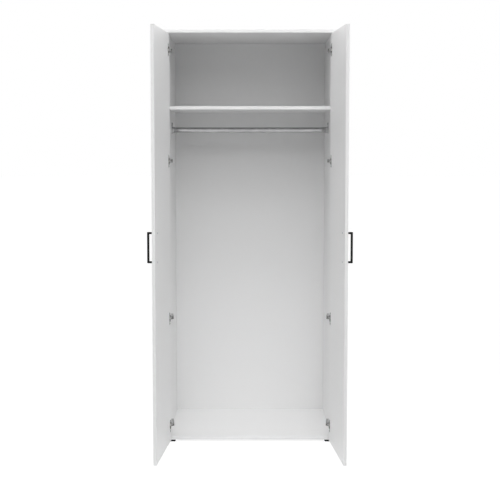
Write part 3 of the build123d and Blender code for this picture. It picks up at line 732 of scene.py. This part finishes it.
def turned_faces(count, rows, columns, closed):
    """Corner numbers of the triangles at the two poles, and of the quads between neighbouring points.

    A closed outline has no poles. Any other starts and ends on the axis, where a whole row is one point.
    """
    corner = np.arange(count * rows * columns).reshape(count, rows, columns)
    if not closed:
        corner[:, [0, -1]] = corner[:, [0, -1], :1]
    outer = corner if closed else corner[:, :-1]
    inner = np.roll(corner, -1, axis=1) if closed else corner[:, 1:]
    next_outer, next_inner = np.roll(outer, -1, axis=2), np.roll(inner, -1, axis=2)
    quads = np.stack([outer, inner, next_inner, next_outer], axis=-1).reshape(-1, 4)
    at_start, at_end = quads[:, 0] == quads[:, 3], quads[:, 1] == quads[:, 2]
    fans = np.concatenate([quads[at_start][:, :3], quads[at_end][:, [0, 1, 3]]])
    return fans, quads[~(at_start | at_end)]


fans, quads = turned_faces(count=1, rows=4, columns=24, closed=False)
print("4 rows and 24 columns make", len(fans), "triangles at the poles and", len(quads), "quads")

# %% [markdown]
# The arrays become a mesh in one call, without the points that no face uses. Faces are shaded smooth
# and edges above a set angle stay crisp. A Smooth by Angle modifier does the same, but the mesh can
# hold it itself. Then the piece takes the finish of the imported piece that it stands for and moves
# with that piece's body, and the imported piece is hidden.

# %% Make a turned piece
crease_angle = 40.0


def turned_piece(name, copies, node, closed=False):
    """A piece from copies of a spun outline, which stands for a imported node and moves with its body."""
    count, rows, columns = copies.shape[:3]
    fans, quads = turned_faces(count, rows, columns, closed)
    used, renumbered = np.unique(np.concatenate([fans.ravel(), quads.ravel()]), return_inverse=True)
    fan_corners = renumbered[:fans.size].reshape(-1, 3)
    quad_corners = renumbered[fans.size:].reshape(-1, 4)
    mesh = bpy.data.meshes.new(name)
    mesh.from_pydata(copies.reshape(-1, 3)[used].tolist(), [], fan_corners.tolist() + quad_corners.tolist())
    mesh.shade_smooth()
    mesh.set_sharp_from_angle(angle=np.radians(crease_angle))
    mesh.materials.append(finish_for(node))
    piece = add_object(name, mesh)
    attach(piece, nodes[node]["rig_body"])
    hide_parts(node)
    print(name, count, "copies,", len(mesh.polygons), "faces")


print("edges stay crisp above", crease_angle, "degrees")

# %% [markdown]
# ## The clothes rail
#
# The rail is a chrome tube with a thin wall. A curve with a round bevel is the quick way to a tube,
# but it has no wall to see at its ends. Here the outline is a closed loop: round the lip at one end,
# along the outside, round the other lip, and back along the inside. The lips are half circles.

# %% Clothes rail
rail_wall = 1.2 * mm
lip_rows, straight_rows = 7, 25


def tube_outline(radius, wall, half):
    """Radii and heights round a tube's wall: half circles as wide as the wall, and two straight lines."""
    lip = np.linspace(-np.pi / 2, np.pi / 2, lip_rows)
    across, beyond = wall / 2 * np.sin(lip), half - wall / 2 * (1 - np.cos(lip))
    straight = np.linspace(1.0, -1.0, straight_rows)[1:-1] * (half - wall / 2)
    outside, inside = np.full_like(straight, radius), np.full_like(straight, radius - wall)
    wall_middle = radius - wall / 2
    radii = np.concatenate([wall_middle + across, outside, wall_middle - across, inside])
    return radii[:, None], np.concatenate([beyond, straight, -beyond, -straight])[:, None]


rail_low, rail_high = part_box("clothes_rail")
rail_place = np.array([(rail_low + rail_high) / 2])
rail_radius, rail_half = (rail_high.z - rail_low.z) / 2, (rail_high.x - rail_low.x) / 2
tube = spin(*tube_outline(rail_radius, rail_wall, rail_half), full_turn(96))
turned_piece("rail_tube", copy_to(tube, rail_place, (1.0, 0.0, 0.0)), "clothes_rail", closed=True)

# %% [markdown]
# ## Screws
#
# A screw has a head with a cross recess for the driver, and a thread. Both could be bumps in the
# finish, but as shapes they hold up from close by and in the mesh itself. The recess lowers the
# head where a point is close to one of two crossing lines.

# %% Cross recess of a screw
slot_share, reach_share, depth_share, end_share = 0.15, 0.58, 0.30, 0.5
recess_softness = 0.3 * mm


def cross_recess(radii, angles, head_radius):
    """Depth of two crossing slots: full near either line, less towards their ends, none beyond."""
    from_lines = np.minimum(np.abs(radii * np.cos(angles)), np.abs(radii * np.sin(angles)))
    slot_half, reach = slot_share * head_radius, reach_share * head_radius
    inside = np.clip((slot_half - from_lines) / recess_softness + 0.5, 0, 1)
    within = np.clip((reach - radii) / recess_softness + 0.5, 0, 1)
    return depth_share * head_radius * inside * within * (1 - end_share * radii / reach)


print("a head of 4 mm radius has a recess", round(cross_recess(0.0, 0.0, 4.0 * mm) / mm, 2), "mm deep")

# %% [markdown]
# The thread is a ridge that climbs round the shank. A curve could be swept along a helix and joined
# to the shank. Here the shank itself is raised where its height, counted in turns of the thread, is
# half a turn from its angle, so screw and thread are one closed surface.

# %% Outline of a screw
screw_angles = full_turn(40)
head_rows, rows_per_turn = 15, 6
dome_flatness, dome_roundness = 4, 0.45
core_share, ridge_slope = 0.72, 4
tip_radii, tip_heights = np.array([[0.97], [0.5], [0.0]]), np.array([[0.9], [0.35], [0.0]])


def screw(head_radius, head_height, sink, shank_radius, length, pitch, point):
    """A screw along Z, with its head over the origin or sunk below it, and its tip at minus length.

    The head is a dome less the recess. After one plain turn the shank is a core plus a ridge, which is
    highest where height over pitch less angle over a full turn leaves one half.
    """
    flat = 0 * screw_angles
    out = np.linspace(0.0, 1.0, head_rows)[:, None]
    head_radii = head_radius * out + flat
    dome = head_height * (1 - out ** dome_flatness) ** dome_roundness
    head = dome - cross_recess(head_radii, screw_angles, head_radius)
    shank = np.linspace(-sink, point - length, int(rows_per_turn * length / pitch))[:, None]
    phase = (shank / pitch - screw_angles / (2 * np.pi)) % 1.0
    ridge = np.clip(1 - ridge_slope * np.abs(phase - 0.5), 0, 1)
    threaded = (-sink - shank) / pitch >= 1
    core = core_share * shank_radius
    shank_radii = np.where(threaded, core + (shank_radius - core) * ridge, shank_radius)
    radii = np.concatenate([head_radii, shank_radii, core * tip_radii + flat])
    heights = np.concatenate([head, shank + flat, point * tip_heights - length + flat])
    return spin(radii, heights, screw_angles)


print("a screw has", len(screw_angles), "columns and", rows_per_turn, "rows in a turn of its thread")

# %% [markdown]
# Each hinge plate is held by two countersunk screws, and each rail bracket by one pan-head screw
# above the rail. They go into the side panels, so their axes lie along X. One screw could be placed
# at a time, but the two sides mirror each other, so one function lists the places on both.

# %% Screws in the side panels
plate_sheet, plate_setback, plate_screw_half = 2.0 * mm, 37.0 * mm, 16.0 * mm
bracket_plate, bracket_tab_rise = 3.0 * mm, 30.0 * mm
wood_screw = dict(head_radius=3.6 * mm, shank_radius=2.0 * mm, length=12.0 * mm, pitch=1.5 * mm,
                  point=3.0 * mm)
flat_screw = screw(head_height=0.0, sink=1.8 * mm, **wood_screw)
pan_screw = screw(head_height=1.8 * mm, sink=0.0, **wood_screw)


def both_sides(x, y, heights):
    """Places at x on the left and -x on the right, at each height, and directions into the wardrobe."""
    sides = np.repeat([-1.0, 1.0], len(heights))
    places = np.stack([-sides * x, np.full_like(sides, y), np.tile(heights, 2)], axis=1)
    return places, np.stack([-sides, 0 * sides, 0 * sides], axis=1)


screw_heights = np.concatenate([hinge_heights - plate_screw_half, hinge_heights + plate_screw_half])
plate_places = both_sides(left_inner_face + plate_sheet, front + plate_setback, screw_heights)
rail_depth, rail_height = rail_place[0, 1], rail_place[0, 2]
tab_places = both_sides(left_inner_face + bracket_plate, rail_depth, [rail_height + bracket_tab_rise])
panel_copies = np.concatenate([copy_to(flat_screw, *plate_places), copy_to(pan_screw, *tab_places)])
turned_piece("panel_wood_screws", panel_copies, "panel_screws")

# %% [markdown]
# Two machine screws hold each hinge arm on its plate: the rear one clamps the arm and the front one
# moves the door sideways. They are the same screw with other numbers: their ends are blunt and their
# thread is finer.

# %% Screws in the hinge arms
arm_height = 17.5 * mm
arm_setbacks = (50.0 * mm, 31.0 * mm)
machine_screw = screw(head_radius=4.2 * mm, head_height=1.8 * mm, sink=0.0, shank_radius=2.4 * mm,
                      length=9.0 * mm, pitch=0.9 * mm, point=0.6 * mm)
arm_places = [both_sides(left_inner_face + arm_height, front + setback, hinge_heights)
              for setback in arm_setbacks]
arm_copies = np.concatenate([copy_to(machine_screw, *places) for places in arm_places])
turned_piece("arm_machine_screws", arm_copies, "arm_screws")

# %% [markdown]
# ## Screws on the doors
#
# Each hinge cup has a flange with two wood screws. Each handle is held by two machine screws that go
# through the door, with their heads on the inner face, where the photograph shows them as two dots.
# They could be placed on the closed door and turned with it. Here their places are counted along the
# open door and square to it, with the directions that its finish uses too.

# %% Screws in the doors
cup_screw_along, cup_flange, cup_screw_half = 29.0 * mm, 0.8 * mm, 24.0 * mm
handle_along, handle_half = 342.5 * mm, 64.0 * mm
cup_screw = screw(head_radius=3.6 * mm, head_height=1.8 * mm, sink=0.0, shank_radius=2.0 * mm,
                  length=10.0 * mm, pitch=1.5 * mm, point=2.5 * mm)
handle_screw = screw(head_radius=4.2 * mm, head_height=2.2 * mm, sink=0.0, shank_radius=2.0 * mm,
                     length=24.9 * mm, pitch=1.2 * mm, point=0.6 * mm)


def on_door(side, along, above, heights):
    """Places along a door from its hinge edge and above its inner face, and the face's direction."""
    ahead, outwards = door_directions(side)
    places = np.tile(door_corner(side) + along * ahead + above * outwards, (len(heights), 1))
    places[:, 2] = heights
    return places, np.tile(outwards, (len(heights), 1))


cup_heights = np.concatenate([hinge_heights - cup_screw_half, hinge_heights + cup_screw_half])
for side in mirrors:
    handle_height = middle(f"{side}_handle").z
    post_heights = [handle_height - handle_half, handle_height + handle_half]
    cup_copies = copy_to(cup_screw, *on_door(side, cup_screw_along, cup_flange, cup_heights))
    handle_copies = copy_to(handle_screw, *on_door(side, handle_along, 0.0, post_heights))
    turned_piece(f"{side}_cup_wood_screws", cup_copies, f"{side}_cup_screws")
    turned_piece(f"{side}_handle_machine_screws", handle_copies, f"{side}_handle_screws")

# %% [markdown]
# ## Nails of the back panel
#
# The back panel is nailed to the rear edges of the boards with small round-headed nails. Three
# shallow rings on the shank grip the wood. The outline is short enough to write down as radii and
# heights in millimetres, from the middle of the head to the tip. An array modifier could repeat one
# nail along an edge. Four rows of places do all the edges at once.

# %% Nails of the back panel
nail_shape = mm * np.array([
    (0.0, 0.80), (0.7, 0.78), (1.4, 0.66), (1.9, 0.45), (2.15, 0.22), (2.2, 0.0), (2.1, 0.0), (0.9, 0.0),
    (0.9, -2.5), (0.82, -2.7), (0.9, -2.9), (0.82, -3.4), (0.9, -3.6), (0.82, -4.1), (0.9, -4.3),
    (0.9, -14.8), (0.5, -16.2), (0.0, -17.0)])
nail_head = nail_shape[:, 0].max()
nails_low, nails_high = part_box("back_panel_nails")
nail_x = nails_high.x - nail_head
nail_bottom, nail_top = nails_low.z + nail_head, nails_high.z - nail_head
end_margin, side_nail_count = 60.0 * mm, 9
carcase_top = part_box("top_panel")[1].z
side_nail_heights = np.linspace(side_low.z + end_margin, carcase_top - end_margin, side_nail_count)
end_nail_xs = np.array([-0.2, 0.0, 0.2])
back_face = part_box("back_panel")[1].y
nail_rows = [(-nail_x, side_nail_heights), (nail_x, side_nail_heights),
             (end_nail_xs, nail_bottom), (end_nail_xs, nail_top)]
nail_places = np.concatenate([np.stack(np.broadcast_arrays(x, back_face, z), axis=1) for x, z in nail_rows])
nail = spin(nail_shape[:, :1], nail_shape[:, 1:], full_turn(24))
turned_piece("round_head_nails", copy_to(nail, nail_places, (0.0, 1.0, 0.0)), "back_panel_nails")

# %% [markdown]
# ## Feet
#
# The foot is a moulded block with rounded corners, a groove below its rim, and a nail of its own that
# goes up into the bottom panel. A cube with a Bevel modifier would come close. The block is spun like
# the rest instead, with one change: its radius grows towards the corners, so that every ring comes
# out as a square with round corners, and rim and groove follow it.

# %% Feet
foot_angles = full_turn(96)
corner_power = 10.0
foot_nail = mm * np.array([(0.0, 22.0), (0.7, 21.0), (1.6, 18.5), (1.6, 12.0)])
foot_block = mm * np.array([
    (3.0, 12.0), (19.3, 12.0), (19.7, 11.9), (19.95, 11.6), (20.0, 11.2), (20.0, 9.2), (19.9, 8.9),
    (19.6, 8.7), (19.6, 8.3), (19.9, 8.1), (20.0, 7.8), (20.0, 0.9), (19.9, 0.5), (19.6, 0.2),
    (19.1, 0.0), (9.0, 0.0), (0.0, 0.0)])


def square_share(angles):
    """A rounded square's distance from its middle: 1 over the p-th root of |cos a|^p plus |sin a|^p."""
    total = np.abs(np.cos(angles)) ** corner_power + np.abs(np.sin(angles)) ** corner_power
    return total ** (-1 / corner_power)


block_radii = foot_block[:, :1] * square_share(foot_angles)
foot_radii = np.concatenate([foot_nail[:, :1] + 0 * foot_angles, block_radii])
foot = spin(foot_radii, np.concatenate([foot_nail, foot_block])[:, 1:], foot_angles)
for corner in ("left_front", "right_front", "left_rear", "right_rear"):
    place = middle(f"{corner}_foot")
    foot_copies = copy_to(foot, np.array([(place.x, place.y, 0.0)]), (0.0, 0.0, 1.0))
    turned_piece(f"{corner}_block", foot_copies, f"{corner}_foot")
